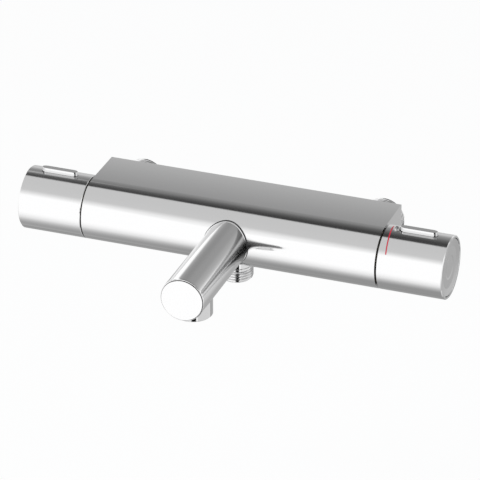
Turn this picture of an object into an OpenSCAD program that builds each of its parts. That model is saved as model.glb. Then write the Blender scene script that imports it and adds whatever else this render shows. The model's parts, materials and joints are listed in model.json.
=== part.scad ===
// Thermostatic bath mixer: a round bar with a flat block behind it, a handle at each end,
// a round spout in front, a threaded shower outlet below and two wall inlets behind.
// Millimetres. Origin midway between the inlets' end faces; X right, Y into the wall, Z up.

/* [Body] */
// Diameter of the bar, and height of the block behind it
bar_d = 40; // [38:0.5:44]
// Length of the bar and block between the two handles
body_len = 192.4; // [190:0.2:210]
// From the bar's axis back to the block's rear face
block_depth = 33; // [32:0.5:40]
// Rounding of the block's two long rear edges
block_edge_r = 0.8; // [0.4:0.1:2]

/* [Wall inlets] */
// Centre distance of the two inlets
inlet_spacing = 160; // [150:1:162]
// From the bar's axis to the inlets' end faces
wall_gap = 51; // [50:0.5:60]
// Outer diameter of the inlet thread, G 3/4
inlet_thread_d = 26.44; // [25:0.01:27]
// Length of the inlet thread
inlet_thread_len = 13; // [11:0.5:13.5]
// Diameter of the open mouth of each inlet
inlet_mouth_d = 20; // [19:0.1:20.4]

/* [Spout] */
// Diameter of the spout
spout_d = 27.9; // [26:0.1:30]
// From the bar's axis to the spout's front face
spout_reach = 96; // [90:1:150]
// Wall thickness of the spout tube
spout_wall = 1.5; // [1:0.1:2]
// Thickness of the disc that closes the spout
spout_cap_t = 2.5; // [2:0.1:4]

/* [Spout outlet] */
// Diameter of the outlet housing
outlet_d = 24; // [22:0.1:24.6]
// From the spout's underside down to the outlet's rim
outlet_below = 4.35; // [3:0.05:8]
// From the spout's front face back to the outlet's centre
outlet_setback = 19.5; // [17:0.5:26]

/* [Shower outlet] */
// Outer diameter of the shower thread, G 1/2
shower_thread_d = 20.96; // [20.6:0.01:21.2]
// Length of the shower thread
shower_thread_len = 7.6; // [7:0.1:10]
// Length of the plain collar above the thread
shower_collar_len = 1.9; // [1.2:0.1:4]
// Height of the flat-seated boss under the bar
shower_boss_len = 1.7; // [1:0.1:3]
// Bore of the shower nipple
shower_bore_d = 15; // [14:0.1:15.4]

/* [Handles] */
// Length of each handle along the bar
handle_len = 41.8; // [41:0.2:50]
// Gap between the body's end and each handle
handle_gap = 1; // [0.5:0.1:1.6]
// Wall thickness of a handle's metal shell
handle_wall = 2.5; // [2:0.1:2.8]
// Chamfer round a handle's outer end
handle_chamfer = 0.5; // [0.2:0.1:0.8]

/* [Push bars] */
// Length of the raised push bar on each handle
push_len = 24; // [18:0.5:25]
// Width of the raised bar
push_w = 3.9; // [3:0.1:5]
// Height of the raised bar above the handle
push_proud = 2.8; // [1.5:0.1:4]
// Distance that the bar can be pressed in
push_travel = 1.2; // [0.8:0.1:1.4]

/* [Temperature scale] */
// From the handle's inner end to the red scale line
scale_inset = 4.3; // [3:0.1:6]
// Width of the red scale line
scale_w = 0.7; // [0.5:0.1:1.2]
// Angle that the scale line covers
scale_angle = 70; // [40:1:90]
// Angle from the handle's top back to the line's start
scale_start = 12; // [0:1:20]
// Slant of the line: its front end lies farther from the handle's inner end
scale_slant = 4.7; // [0:0.1:6]

/* [Stops] */
// Turn of the temperature handle from its coldest to its hottest stop
temperature_sweep = 270; // [240:1:290]
// Part of that turn on the hot side of the rest position
temperature_hot = 90; // [60:1:110]
// Turn of the flow handle to each side of closed
flow_half_turn = 90; // [70:1:100]

/* [Cartridges] */
// Diameter of the two bores in the body's ends
cartridge_d = 29; // [28:0.1:30]
// Depth of the thermostat's bore
thermostat_depth = 60; // [58.5:0.1:63]
// Depth of the flow cartridge's bore
flow_depth = 46; // [45:0.5:54]
// From the body's end face to the thermostat's cold port
cold_port_inset = 16.2; // [15.6:0.1:17]
// Distance between the thermostat's hot and cold ports
port_pitch = 27.8; // [26:0.1:28.5]
// Diameter of the water ways between the two bores
way_d = 6; // [5:0.1:6.4]
// Diameter of the hot water's duct through the block
hot_duct_d = 9; // [7:0.1:9.5]

/* [Hidden] */
$fn = 64;

// Overrun of every cut past the face that it opens
over = 1;
// Gap between two parts that are fixed together
fit = 0.1;
// Gap round a shaft, and along a face, that turns or slides
run_fit = 0.1;
// Gap between loosely seated parts
loose_fit = 0.3;

bar_r = bar_d / 2;
body_half = body_len / 2;

// Cartridge bores, nuts and seals, measured inwards from the body's end faces
cartridge_r = cartridge_d / 2;
nut_len = 8;
nut_step = 1;
nut_r = cartridge_r + nut_step;
nose_r = 9;
nose_flat = 0.8;
nose_len = 6.8;
shaft_r = 4.6;
seal_r = 0.75;
seal_groove_w = 2.4;
seal_inset = 0.85;

// Inlet nipples, measured outwards from the block's rear face
inlet_x = inlet_spacing / 2;
inlet_len = wall_gap - block_depth;
inlet_thread_r = inlet_thread_d / 2;
inlet_mouth_r = inlet_mouth_d / 2;
inlet_neck_step = 1;
inlet_neck_r = inlet_thread_r - inlet_neck_step;
inlet_socket_depth = 15.5;
inlet_root_len = 9;
inlet_root_r = 11;
inlet_bore_r = 8.6;
inlet_mouth_depth = 6;
thread_chamfer = 0.8;
gasket_t = 1;
screen_seat_len = 1.5;
screen_seat_r = (inlet_mouth_r + inlet_bore_r) / 2;
screen_r = 7.9;
screen_wall = 0.7;
screen_len = 5.5;
screen_slot_w = 1;
screen_slots = 12;

// Check valves: sizes as shares of the cage's radius, and lengths along the flow
cage_len = 12;
cage_wall = 1.6;
seat_t = 1.8;
seat_hole_share = 0.55;
poppet_share = 0.7;
poppet_t = 1.3;
poppet_travel = 2;
stem_r = 1.2;
stem_end = 10;
spider_start = 9;
spider_t = 2;
spider_w = 1.4;
arm_t = 1.2;
hub_r = 2.4;
valve_coil_r = 2.9;
valve_wire_r = 0.3;
valve_turns = 4;

// Water ways in the body
way_r = way_d / 2;
side_way = 8.5;
hot_duct_r = hot_duct_d / 2;
hot_duct_web = 3.5;
hot_duct_y = cartridge_r + hot_duct_web + hot_duct_r;
port_r = 4;
cold_z = -cold_port_inset;
hot_z = cold_z - port_pitch;
shower_way_r = 2.5;
shower_way_y = 6.3;

// Spout, measured forwards from the bar's axis
spout_r = spout_d / 2;
spout_bore_r = spout_r - spout_wall;
spout_seat_depth = 2;
spout_seat = bar_r - spout_seat_depth;
spout_socket_r = 9;
spout_socket_depth = 12;
spout_socket_end = bar_r - spout_socket_depth;
spout_shoulder_r = 10.3;
spout_shoulder_len = 4;
spout_shoulder_end = bar_r + spout_shoulder_len;
spout_gasket_t = 0.45;
base_ring_w = 0.75;
base_ring_proud = 0.35;
base_ring_start = spout_gasket_t + fit;
spout_root_gap = base_ring_start + base_ring_w + fit / 2;
connector_len = 26;
connector_end = bar_r + connector_len;
connector_bore_r = 6.5;
spout_seal_inset = 5;
spout_seal_pitch = 10;
spout_seal_places = [connector_end - spout_seal_inset - spout_seal_pitch, connector_end - spout_seal_inset];
grub_inset = 10;
grub_place = connector_end - grub_inset;
grub_r = 2;
cap_spigot_len = 3.5;
cap_spigot_wall = 2;
cap_edge_r = 1;

// Spout outlet, measured down from the bar's axis
outlet_r = outlet_d / 2;
outlet_y = outlet_setback - spout_reach;
outlet_drop = spout_r + outlet_below;
outlet_wall = 1.4;
outlet_bore_r = outlet_r - outlet_wall;
outlet_len = 14.3;
outlet_top = outlet_drop - outlet_len;
aerator_depth = 10.8;
outlet_step = outlet_drop - aerator_depth;
outlet_step_w = 1.6;
outlet_chamfer = 0.5;
aerator_inset = 0.6;
aerator_seal_t = 1.4;
aerator_seal_w = 2.4;
aerator_wall = 1.5;
aerator_floor_t = 2;
aerator_bars = 8;
aerator_bar_w = 0.9;
aerator_ring_shares = [0.33, 0.67];

// Shower nipple, measured downwards from the bar's axis
shower_thread_r = shower_thread_d / 2;
shower_boss_drop = bar_r + shower_boss_len;
shower_drop = shower_boss_drop + shower_collar_len + shower_thread_len;
shower_bore_r = shower_bore_d / 2;
shower_collar_step = 0.58;
shower_collar_r = shower_thread_r - shower_collar_step;
shower_socket_r = 9;
shower_socket_depth = 8;
shower_socket_top = bar_r - shower_socket_depth;
shower_valve_top = shower_socket_top + over;
shower_gasket_t = 0.3;
shower_gasket_inset = 0.2;

// Handle parts, measured outwards from the handle's inner end
handle_chamfer_in = 0.3;
cap_seat = 1.6;
cap_depth = 3.8;
flange_t = 1.8;
flange_hole_r = 12;
cap_gap = 0.2;
cap_sink = 0.3;
cap_plug_len = 1.4;
cap_plug_w = 1.4;
dish_r = 14.5;
dish_depth = 0.5;
dish_slope = 0.8;
insert_start = 2;
stop_end = 7;
insert_wall = 2.1;
stop_room_r = bar_r - handle_wall - insert_wall;
stop_ring_wall = 2.5;
stop_mid_r = nose_r + stop_ring_wall;
stop_end_gap = 0.4;
stop_slack = 2;
stop_ring_start = 0.4;
stop_lug_start = 2.4;
spline_end = 22;
spline_teeth = 20;
spline_depth = 0.6;
spline_r = shaft_r - fit;
screw_floor = 3;
screw_r = 2;
screw_head_r = 4.2;
screw_head_t = 3;
screw_socket_r = 1.9;
screw_socket_depth = 2;
screw_start = 13;
screw_room_r = 5.6;
scale_depth = 0.25;

// Push bar parts: heights above the bar's axis, and places from the middle of the bar
push_mid = handle_len / 2;
push_top = bar_r + push_proud;
push_gap = 0.2;
foot_clearance = 0.5;
foot_top = bar_r - handle_wall - foot_clearance;
foot_t = 1.5;
foot_w = 7.4;
foot_extra = 1.6;
pocket_gap = 0.4;
pocket_room = 1.7;
pocket_floor = foot_top - foot_t - push_travel - pocket_room;
post_r = 1.5;
post_place_share = 0.75;
post_len = 4.9;
post_room = 2;
push_coil_r = 2;
push_wire_r = 0.35;
push_turns = 5;
spring_well = 3.2;

// Thermostat, measured along the bar from the body's end face, outwards positive
sleeve_r = cartridge_r - fit;
sleeve_bore_r = 10;
sleeve_start = -thermostat_depth + loose_fit;
sleeve_end = -nut_len - fit;
sleeve_floor = 1.7;
sleeve_wall_end = 2.9;
sleeve_hole_r = 6.5;
port_groove_w = 7;
port_groove_depth = 1.6;
window_r = 2.6;
windows = 6;
slide_lap = 1;
slide_start = hot_z + slide_lap;
slide_end = cold_z - slide_lap;
slide_wall = 2.5;
web_inset = 9;
web_t = 3;
web_holes = 4;
web_hole_r = 1.6;
web_hole_place = 5.2;
wax_r = 5;
wax_len = 18;
wax_flange_r = 6.6;
wax_flange_t = 1.9;
wax_neck_r = 3;
wax_neck_len = 4.5;
piston_r = 1.5;
piston_len = 10;
nose_bore_extra = 1.6;
push_nose_r = 6;
push_nose_lap = 6.3;
return_coil_r = 8.8;
return_wire_r = 0.5;
return_turns = 6;

// Flow cartridge, measured along the bar from the body's end face, outwards positive
chamber_r = 13.1;
disc_t = 4;
disc_gap = 0.05;
disc_hole_r = 3.3;
slot_depth = 2;
drive_t = 4;
drive_pin_r = 1.3;
drive_pin_len = 1.4;
drive_pin_place = 9;
flow_start = -flow_depth + loose_fit;
moving_start = flow_start + disc_t + disc_gap;
drive_start = moving_start + disc_t + disc_gap;
chamber_end = drive_start + drive_t + loose_fit;

// Moves children to the bar's axis
module on_bar() translate([0, -wall_gap, 0]) children();

// Right end: local Z outwards from the body's end face, local X up, local Y forwards
module right_end() on_bar() translate([body_half, 0, 0]) rotate([0, 90, 0]) rotate([0, 0, 180]) children();

// Left end: the same, mirrored
module left_end() on_bar() mirror([1, 0, 0]) translate([body_half, 0, 0])
  rotate([0, 90, 0]) rotate([0, 0, 180]) children();

// Handle frame: as an end's frame, from the handle's inner end
module from_handle() translate([0, 0, handle_gap]) children();

// Local Z forwards from the bar's axis, local Y up
module spout_frame() on_bar() rotate([90, 0, 0]) children();

// Local Z downwards from the bar's axis, local Y forwards
module down_frame(y = 0) on_bar() translate([0, y, 0]) rotate([180, 0, 0]) children();

// Local Z towards the wall from the block's rear face, at one inlet
module inlet_frame(side) on_bar() translate([side * inlet_x, block_depth, 0]) rotate([-90, 0, 0]) children();

module rod(r, z0, z1) translate([0, 0, z0]) cylinder(h = z1 - z0, r = r);

module tube(r_out, r_in, z0, z1) difference() {
  rod(r_out, z0, z1);
  rod(r_in, z0 - over, z1 + over);
}

// A rod along local X
module rod_x(r, x0, x1) translate([x0, 0, 0]) rotate([0, 90, 0]) cylinder(h = x1 - x0, r = r);

// A wedge about local Z that holds the angles from a0 to a1, counted from local X
module wedge(a0, a1, r, z0, z1) {
  mid = (a0 + a1) / 2;
  reach = r / cos((a1 - a0) / 4);
  translate([0, 0, z0]) linear_extrude(z1 - z0)
    polygon([[0, 0], for (a = [a0, mid, a1]) reach * [cos(a), sin(a)]]);
}

// A round-ended slot shape along local Z, standing along local X
module bar_shape(len, w, x0, x1) {
  for (s = [-1, 1]) translate([0, 0, s * (len - w) / 2]) rod_x(w / 2, x0, x1);
  translate([x0, -w / 2, -(len - w) / 2]) cube([x1 - x0, w, len - w]);
}

// O-ring in a groove of a part of radius r
module o_ring(r, z) translate([0, 0, z]) rotate_extrude() translate([r - seal_inset, 0])
  circle(r = seal_r, $fn = 24);

module o_ring_groove(r, z) difference() {
  rod(r + over, z - seal_groove_w / 2, z + seal_groove_w / 2);
  rod(r - seal_inset - seal_r - fit / 2, z - seal_groove_w, z + seal_groove_w);
}

// Coil spring round local Z: one tube of six sides swept along a helix
module coil(r, wire, z0, z1, turns) {
  steps = 8 * turns;
  sides = 6;
  rise = z1 - z0 - 2 * wire;
  function ring(i) = [for (k = [0 : sides - 1])
    let (a = 360 * turns * i / steps, b = 360 * k / sides, q = r + wire * cos(b))
    [q * cos(a), q * sin(a), z0 + wire + rise * i / steps + wire * sin(b)]];
  points = [for (i = [0 : steps]) each ring(i)];
  sides_faces = [for (i = [0 : steps - 1], k = [0 : sides - 1])
    let (n = (k + 1) % sides, p = i * sides, q = p + sides)
      each [[p + k, q + k, q + n], [p + k, q + n, p + n]]];
  first = [[for (k = [0 : sides - 1]) k]];
  last = [[for (k = [0 : sides - 1]) steps * sides + sides - 1 - k]];
  polyhedron(points, concat(sides_faces, first, last));
}

// Outline of a splined shaft or bore
spline_tooth_shares = [[0, 0], [0.2, 1], [0.5, 1], [0.7, 0]];
function spline_outline(r) = [for (i = [0 : spline_teeth - 1], c = spline_tooth_shares)
  let (a = 360 * (i + c[0]) / spline_teeth, q = r - spline_depth * (1 - c[1])) q * [cos(a), sin(a)]];

// Outline of the nut's nose: a round with two flats
module nose_outline(gap) intersection() {
  circle(r = nose_r + gap);
  square([2 * (nose_r - nose_flat + gap), 3 * nose_r], center = true);
}

module body_outline() {
  circle(r = bar_r);
  difference() {
    translate([0, -bar_r]) square([block_depth, bar_d]);
    for (s = [-1, 1]) translate([block_depth - block_edge_r, s * (bar_r - block_edge_r)]) difference() {
      translate([0, s > 0 ? 0 : -block_edge_r - over]) square(block_edge_r + over);
      circle(r = block_edge_r);
    }
  }
}

module cartridge_bore(depth) {
  rod(cartridge_r, -depth, over);
  rod(nut_r, -nut_len, over);
}

module body_shell() color([0.86, 0.87, 0.88]) difference() {
  union() {
    on_bar() translate([-body_half, 0, 0]) rotate([90, 0, 90]) linear_extrude(body_len) body_outline();
    down_frame() rod(shower_collar_r, shower_socket_top, shower_boss_drop);
  }
  right_end() cartridge_bore(thermostat_depth);
  left_end() cartridge_bore(flow_depth);
  // mixed water back to the flow cartridge, then its two ways to the spout and the shower
  on_bar() rod_x(way_r, flow_depth - body_half - over, body_half - thermostat_depth + over);
  on_bar() translate([0, -side_way, 0]) rod_x(way_r, flow_depth - body_half - over, -way_r);
  on_bar() translate([0, side_way, 0]) rod_x(way_r, flow_depth - body_half - over, way_r);
  down_frame(shower_way_y) rod(shower_way_r, 0, shower_socket_top + over);
  spout_frame() rod(spout_socket_r, spout_socket_end, bar_r + over);
  spout_frame() rod(spout_shoulder_r + fit, spout_seat, bar_r + over);
  down_frame() rod(shower_socket_r, shower_socket_top, shower_boss_drop + over);
  // hot duct through the block to the thermostat's hot port, and the cold port
  on_bar() translate([0, hot_duct_y, 0]) rod_x(hot_duct_r, -inlet_x, body_half + hot_z + over);
  on_bar() translate([body_half + hot_z, 0, 0]) rotate([-90, 0, 0]) rod(port_r, 0, hot_duct_y);
  on_bar() translate([0, hot_duct_y, 0])
    rod_x(port_r, min(inlet_x, body_half + cold_z) - port_r, max(inlet_x, body_half + cold_z) + port_r);
  on_bar() translate([body_half + cold_z, 0, 0]) rotate([-90, 0, 0]) rod(port_r, 0, hot_duct_y);
  for (side = [-1, 1]) inlet_frame(side) rod(inlet_root_r + fit, -inlet_socket_depth, over);
}

module inlet_nipple(side) color([0.86, 0.87, 0.88]) inlet_frame(side) difference() {
  union() {
    rod(inlet_root_r, -inlet_root_len, inlet_len - inlet_thread_len);
    rod(inlet_neck_r, gasket_t, inlet_len - inlet_thread_len + over);
    rod(inlet_thread_r, inlet_len - inlet_thread_len, inlet_len - thread_chamfer);
    translate([0, 0, inlet_len - thread_chamfer])
      cylinder(h = thread_chamfer, r1 = inlet_thread_r, r2 = inlet_thread_r - thread_chamfer);
  }
  rod(inlet_bore_r, -inlet_root_len - over, inlet_len + over);
  rod(screen_seat_r, inlet_len - inlet_mouth_depth - screen_seat_len, inlet_len + over);
  rod(inlet_mouth_r, inlet_len - inlet_mouth_depth, inlet_len + over);
}

module inlet_nipple_hot() inlet_nipple(-1);
module inlet_nipple_cold() inlet_nipple(1);

module inlet_gaskets() color([0.5, 0.2, 0.18]) for (side = [-1, 1])
  inlet_frame(side) tube(inlet_neck_r, inlet_root_r + fit, 0, gasket_t);

module strainer(side) color([0.75, 0.76, 0.78]) inlet_frame(side) {
  rim_z = inlet_len - inlet_mouth_depth - screen_seat_len;
  difference() {
    union() {
      rod(screen_seat_r - fit, rim_z, rim_z + screen_seat_len - fit);
      rod(screen_r, rim_z - screen_len, rim_z + fit);
    }
    rod(screen_r - screen_wall, rim_z - screen_len + screen_wall, inlet_len);
    for (i = [0 : screen_slots - 1]) rotate([0, 0, 360 * i / screen_slots])
      translate([screen_r / 2, -screen_slot_w / 2, rim_z - screen_len + 2 * screen_wall])
        cube([screen_r, screen_slot_w, screen_len - 3 * screen_wall]);
  }
}

module strainer_hot() strainer(-1);
module strainer_cold() strainer(1);

// Check valve cage: local Z along the flow, from the inlet side
module cage(r) {
  inner_r = r - cage_wall;
  tube(r, inner_r, 0, cage_len);
  tube(inner_r + cage_wall / 2, r * seat_hole_share, 0, seat_t);
  difference() {
    union() {
      rod(hub_r, spider_start, spider_start + spider_t);
      for (a = [90, 210, 330]) rotate([0, 0, a])
        translate([0, -spider_w / 2, spider_start + (spider_t - arm_t) / 2])
          cube([inner_r + cage_wall / 2, spider_w, arm_t]);
    }
    rod(stem_r + run_fit, spider_start - over, spider_start + spider_t + over);
  }
}

module poppet(r) {
  rod(r * poppet_share, seat_t + run_fit, seat_t + run_fit + poppet_t);
  rod(stem_r, seat_t + run_fit, stem_end);
}

module poppet_spring(r)
  coil(valve_coil_r, valve_wire_r, seat_t + run_fit + poppet_t, spider_start, valve_turns);

// Places a check valve in an inlet, or in the shower nipple
module inlet_valve(side) inlet_frame(side) translate([0, 0, cage_len - inlet_root_len + fit])
  mirror([0, 0, 1]) children();
module shower_valve() down_frame() translate([0, 0, shower_valve_top]) children();

inlet_cage_r = inlet_bore_r - fit;
shower_cage_r = shower_bore_r - fit;

module check_valve_hot() color([0.9, 0.9, 0.86]) inlet_valve(-1) cage(inlet_cage_r);
module check_valve_cold() color([0.9, 0.9, 0.86]) inlet_valve(1) cage(inlet_cage_r);
module check_valve_shower() color([0.9, 0.9, 0.86]) shower_valve() cage(shower_cage_r);
module poppet_hot() color([0.2, 0.35, 0.6]) inlet_valve(-1) poppet(inlet_cage_r);
module poppet_cold() color([0.2, 0.35, 0.6]) inlet_valve(1) poppet(inlet_cage_r);
module poppet_shower() color([0.2, 0.35, 0.6]) shower_valve() poppet(shower_cage_r);
module poppet_spring_hot() color([0.7, 0.7, 0.72]) inlet_valve(-1) poppet_spring(inlet_cage_r);
module poppet_spring_cold() color([0.7, 0.7, 0.72]) inlet_valve(1) poppet_spring(inlet_cage_r);
module poppet_spring_shower() color([0.7, 0.7, 0.72]) shower_valve() poppet_spring(shower_cage_r);

module shower_nipple() color([0.86, 0.87, 0.88]) down_frame() difference() {
  union() {
    rod(shower_socket_r - fit, shower_socket_top + fit, shower_drop - shower_thread_len);
    rod(shower_collar_r, shower_boss_drop + shower_gasket_t, shower_drop - shower_thread_len + over);
    rod(shower_thread_r, shower_drop - shower_thread_len, shower_drop - thread_chamfer);
    translate([0, 0, shower_drop - thread_chamfer])
      cylinder(h = thread_chamfer, r1 = shower_thread_r, r2 = shower_thread_r - thread_chamfer);
  }
  rod(shower_bore_r, shower_socket_top, shower_drop + over);
}

module shower_gasket() color([0.15, 0.15, 0.16]) down_frame()
  tube(shower_collar_r - shower_gasket_inset, shower_socket_r, shower_boss_drop,
    shower_boss_drop + shower_gasket_t);

// Saddle-shaped ring at the spout's root: both faces follow the bar
module saddle(r, start, thickness) intersection() {
  spout_frame() tube(r, spout_shoulder_r + loose_fit, 0, bar_d);
  difference() {
    on_bar() rod_x(bar_r + start + thickness, -bar_d, bar_d);
    on_bar() rod_x(bar_r + start, -bar_d - over, bar_d + over);
  }
}

module spout_gasket() color([0.12, 0.12, 0.13]) saddle(spout_r, fit / 2, spout_gasket_t);
module spout_base_ring() color([0.8, 0.81, 0.83])
  saddle(spout_r + base_ring_proud, base_ring_start, base_ring_w);

module spout_tube() color([0.86, 0.87, 0.88]) difference() {
  spout_frame() tube(spout_r, spout_bore_r, 0, spout_reach - spout_cap_t);
  on_bar() rod_x(bar_r + spout_root_gap, -bar_d, bar_d);
  down_frame(outlet_y) rod(outlet_r + fit / 2, 0, bar_d);
  down_frame(-grub_place) rod(grub_r + fit, 0, bar_d);
}

// Half section of the disc that closes the spout, rounded at its front edge
module spout_cap_outline() difference() {
  square([spout_r, spout_cap_t]);
  translate([spout_r - cap_edge_r, spout_cap_t - cap_edge_r]) difference() {
    square(cap_edge_r + over);
    circle(r = cap_edge_r);
  }
}

module spout_end_cap() color([0.9, 0.91, 0.92]) spout_frame() {
  translate([0, 0, spout_reach - spout_cap_t]) rotate_extrude() spout_cap_outline();
  tube(spout_bore_r - fit, spout_bore_r - cap_spigot_wall, spout_reach - spout_cap_t - cap_spigot_len,
    spout_reach - spout_cap_t);
}

module spout_connector() color([0.78, 0.66, 0.38]) difference() {
  spout_frame() {
    rod(spout_socket_r - fit, spout_socket_end + fit, spout_seat + over);
    rod(spout_shoulder_r, spout_seat, spout_shoulder_end + over);
    rod(spout_bore_r - fit, spout_shoulder_end, connector_end);
  }
  spout_frame() rod(connector_bore_r, spout_socket_end, connector_end + over);
  for (z = spout_seal_places) spout_frame() o_ring_groove(spout_bore_r, z);
  down_frame(-grub_place) rod(grub_r + fit, spout_bore_r - spout_wall, bar_d);
}

module spout_seals() color([0.1, 0.1, 0.1]) spout_frame() for (z = spout_seal_places) o_ring(spout_bore_r, z);

module spout_grub_screw() color([0.6, 0.6, 0.62]) down_frame(-grub_place) difference() {
  rod(grub_r, spout_bore_r - spout_wall + fit, spout_r - loose_fit);
  translate([0, 0, spout_r - grub_r]) cylinder(h = bar_d, r = grub_r / 2, $fn = 6);
}

module outlet_housing() color([0.86, 0.87, 0.88]) down_frame(outlet_y) difference() {
  union() {
    rod(outlet_r, outlet_top, outlet_drop - outlet_chamfer);
    translate([0, 0, outlet_drop - outlet_chamfer])
      cylinder(h = outlet_chamfer, r1 = outlet_r, r2 = outlet_r - outlet_chamfer);
  }
  rod(outlet_bore_r - outlet_step_w, 0, outlet_drop + over);
  rod(outlet_bore_r, outlet_step, outlet_drop + over);
}

module aerator_insert() color([0.92, 0.92, 0.9]) down_frame(outlet_y) {
  top = outlet_step + aerator_seal_t;
  bottom = outlet_drop - aerator_inset;
  inner_r = outlet_bore_r - fit - aerator_wall;
  tube(outlet_bore_r - fit, inner_r, top, bottom);
  // floor with concentric rings and spokes
  for (share = aerator_ring_shares)
    tube(share * inner_r + aerator_bar_w / 2, share * inner_r - aerator_bar_w / 2,
      bottom - aerator_floor_t, bottom);
  rod(aerator_bar_w, bottom - aerator_floor_t, bottom);
  for (i = [0 : aerator_bars - 1]) rotate([0, 0, 360 * i / aerator_bars])
    translate([0, -aerator_bar_w / 2, bottom - aerator_floor_t])
      cube([inner_r + aerator_wall / 2, aerator_bar_w, aerator_floor_t]);
}

module aerator_seal() color([0.12, 0.12, 0.13]) down_frame(outlet_y)
  tube(outlet_bore_r - fit, outlet_bore_r - aerator_seal_w, outlet_step, outlet_step + aerator_seal_t);

// Thermostat
module port_groove(z) difference() {
  rod(sleeve_r + over, z - port_groove_w / 2, z + port_groove_w / 2);
  rod(sleeve_r - port_groove_depth, z - port_groove_w, z + port_groove_w);
}

thermostat_seal_places = [(sleeve_start + hot_z - port_groove_w / 2) / 2, (hot_z + cold_z) / 2,
  (cold_z + port_groove_w / 2 + sleeve_end) / 2];

module thermostat_sleeve() color([0.88, 0.87, 0.8]) right_end() difference() {
  rod(sleeve_r, sleeve_start, sleeve_end);
  rod(sleeve_hole_r, sleeve_start - over, sleeve_end - sleeve_wall_end);
  rod(sleeve_bore_r, sleeve_start + sleeve_floor, sleeve_end - sleeve_wall_end);
  rod(shaft_r + run_fit, sleeve_start, sleeve_end + over);
  for (z = [hot_z, cold_z]) {
    port_groove(z);
    for (i = [0 : windows - 1]) translate([0, 0, z]) rotate([0, 0, 360 * i / windows])
      rod_x(window_r, 0, cartridge_r);
  }
  for (z = thermostat_seal_places) o_ring_groove(cartridge_r, z);
}

module thermostat_seals() color([0.1, 0.1, 0.1]) right_end()
  for (z = thermostat_seal_places) o_ring(cartridge_r, z);

// Retaining nut: threaded ring in the body's end and a nose with two flats for the stop ring
module nut() difference() {
  union() {
    rod(nut_r - fit, -nut_len, 0);
    linear_extrude(nose_len) nose_outline(0);
  }
  rod(shaft_r + run_fit, -nut_len - over, nose_len + over);
}

module thermostat_nut() color([0.78, 0.66, 0.38]) right_end() nut();
module flow_nut() color([0.78, 0.66, 0.38]) left_end() nut();

module wax_element() color([0.8, 0.5, 0.3]) right_end() {
  web_z = slide_start + web_inset;
  rod(wax_r, web_z - fit - wax_len, web_z - fit - wax_flange_t + fit);
  rod(wax_flange_r, web_z - fit - wax_flange_t, web_z - fit);
  rod(wax_neck_r, web_z - fit - wax_flange_t, web_z + wax_neck_len);
  rod(piston_r, web_z, web_z + wax_neck_len + piston_len);
}

module regulating_slide() color([0.3, 0.3, 0.32]) right_end() {
  web_z = slide_start + web_inset;
  slide_r = sleeve_bore_r - run_fit;
  tube(slide_r, slide_r - slide_wall, slide_start, slide_end);
  difference() {
    rod(slide_r - slide_wall / 2, web_z, web_z + web_t);
    rod(wax_neck_r + fit, web_z - over, web_z + web_t + over);
    for (i = [0 : web_holes - 1]) rotate([0, 0, 360 * i / web_holes]) translate([web_hole_place, 0, 0])
      rod(web_hole_r, web_z - over, web_z + web_t + over);
  }
}

module return_spring() color([0.7, 0.7, 0.72]) right_end()
  coil(return_coil_r, return_wire_r, sleeve_start + sleeve_floor + fit, slide_start - fit, return_turns);

// Shaft end that carries a handle: plain, then splined, tapped for the handle's screw
module handle_shaft(z0) difference() {
  union() {
    rod(shaft_r, z0, handle_gap + stop_end - loose_fit);
    translate([0, 0, handle_gap + stop_end - loose_fit - over])
      linear_extrude(spline_end - stop_end + over) polygon(spline_outline(spline_r));
  }
  from_handle() rod(screw_r + fit, screw_start - over, spline_end + over);
}

module temperature_spindle() color([0.78, 0.66, 0.38]) right_end() {
  piston_end = slide_start + web_inset + wax_neck_len + piston_len;
  nose_start = slide_end - push_nose_lap;
  difference() {
    rod(push_nose_r, nose_start, sleeve_end - sleeve_wall_end - loose_fit);
    rod(piston_r + run_fit, nose_start - over, piston_end + nose_bore_extra);
  }
  handle_shaft(sleeve_end - sleeve_wall_end - loose_fit - over);
}

// Stop ring: fixed on a nut's nose, with a lug centred at angle mid
module stop_ring(mid, width) from_handle() difference() {
  union() {
    rod(stop_mid_r - stop_end_gap / 2, stop_ring_start, stop_end - stop_end_gap);
    intersection() {
      rod(stop_room_r - stop_end_gap, stop_lug_start, stop_end - stop_end_gap);
      wedge(mid - width / 2, mid + width / 2, bar_r, 0, handle_len);
    }
  }
  linear_extrude(handle_len) nose_outline(fit);
}

// Each stop and lug takes half of what the sweep leaves of a full turn
function lug_width(sweep) = (360 - sweep) / 2 - stop_slack / 2;
temperature_lug = lug_width(temperature_sweep);
flow_lug = lug_width(2 * flow_half_turn);
// Middle of the fixed lug, from the top towards the front
temperature_stop_mid = 180 + temperature_sweep / 2 - temperature_hot;

module temperature_stop_ring() color([0.95, 0.95, 0.93]) right_end()
  stop_ring(temperature_stop_mid, temperature_lug);
module flow_stop_ring() color([0.95, 0.95, 0.93]) left_end() stop_ring(180, flow_lug);

// Handles: local X up, Y forwards, Z outwards from the handle's inner end
module push_opening(extra) translate([0, 0, push_mid])
  bar_shape(push_len + 2 * extra, push_w + 2 * extra, flange_hole_r, bar_d);

module knob() difference() {
  seat_r = bar_r - cap_seat;
  rotate_extrude() polygon([
    [bar_r - handle_wall, 0],
    [bar_r - handle_chamfer_in, 0],
    [bar_r, handle_chamfer_in],
    [bar_r, handle_len - handle_chamfer],
    [bar_r - handle_chamfer, handle_len],
    [seat_r, handle_len],
    [seat_r, handle_len - cap_depth],
    [flange_hole_r, handle_len - cap_depth],
    [flange_hole_r, handle_len - cap_depth - flange_t],
    [bar_r - handle_wall, handle_len - cap_depth - flange_t]]);
  push_opening(push_gap);
}

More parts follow.
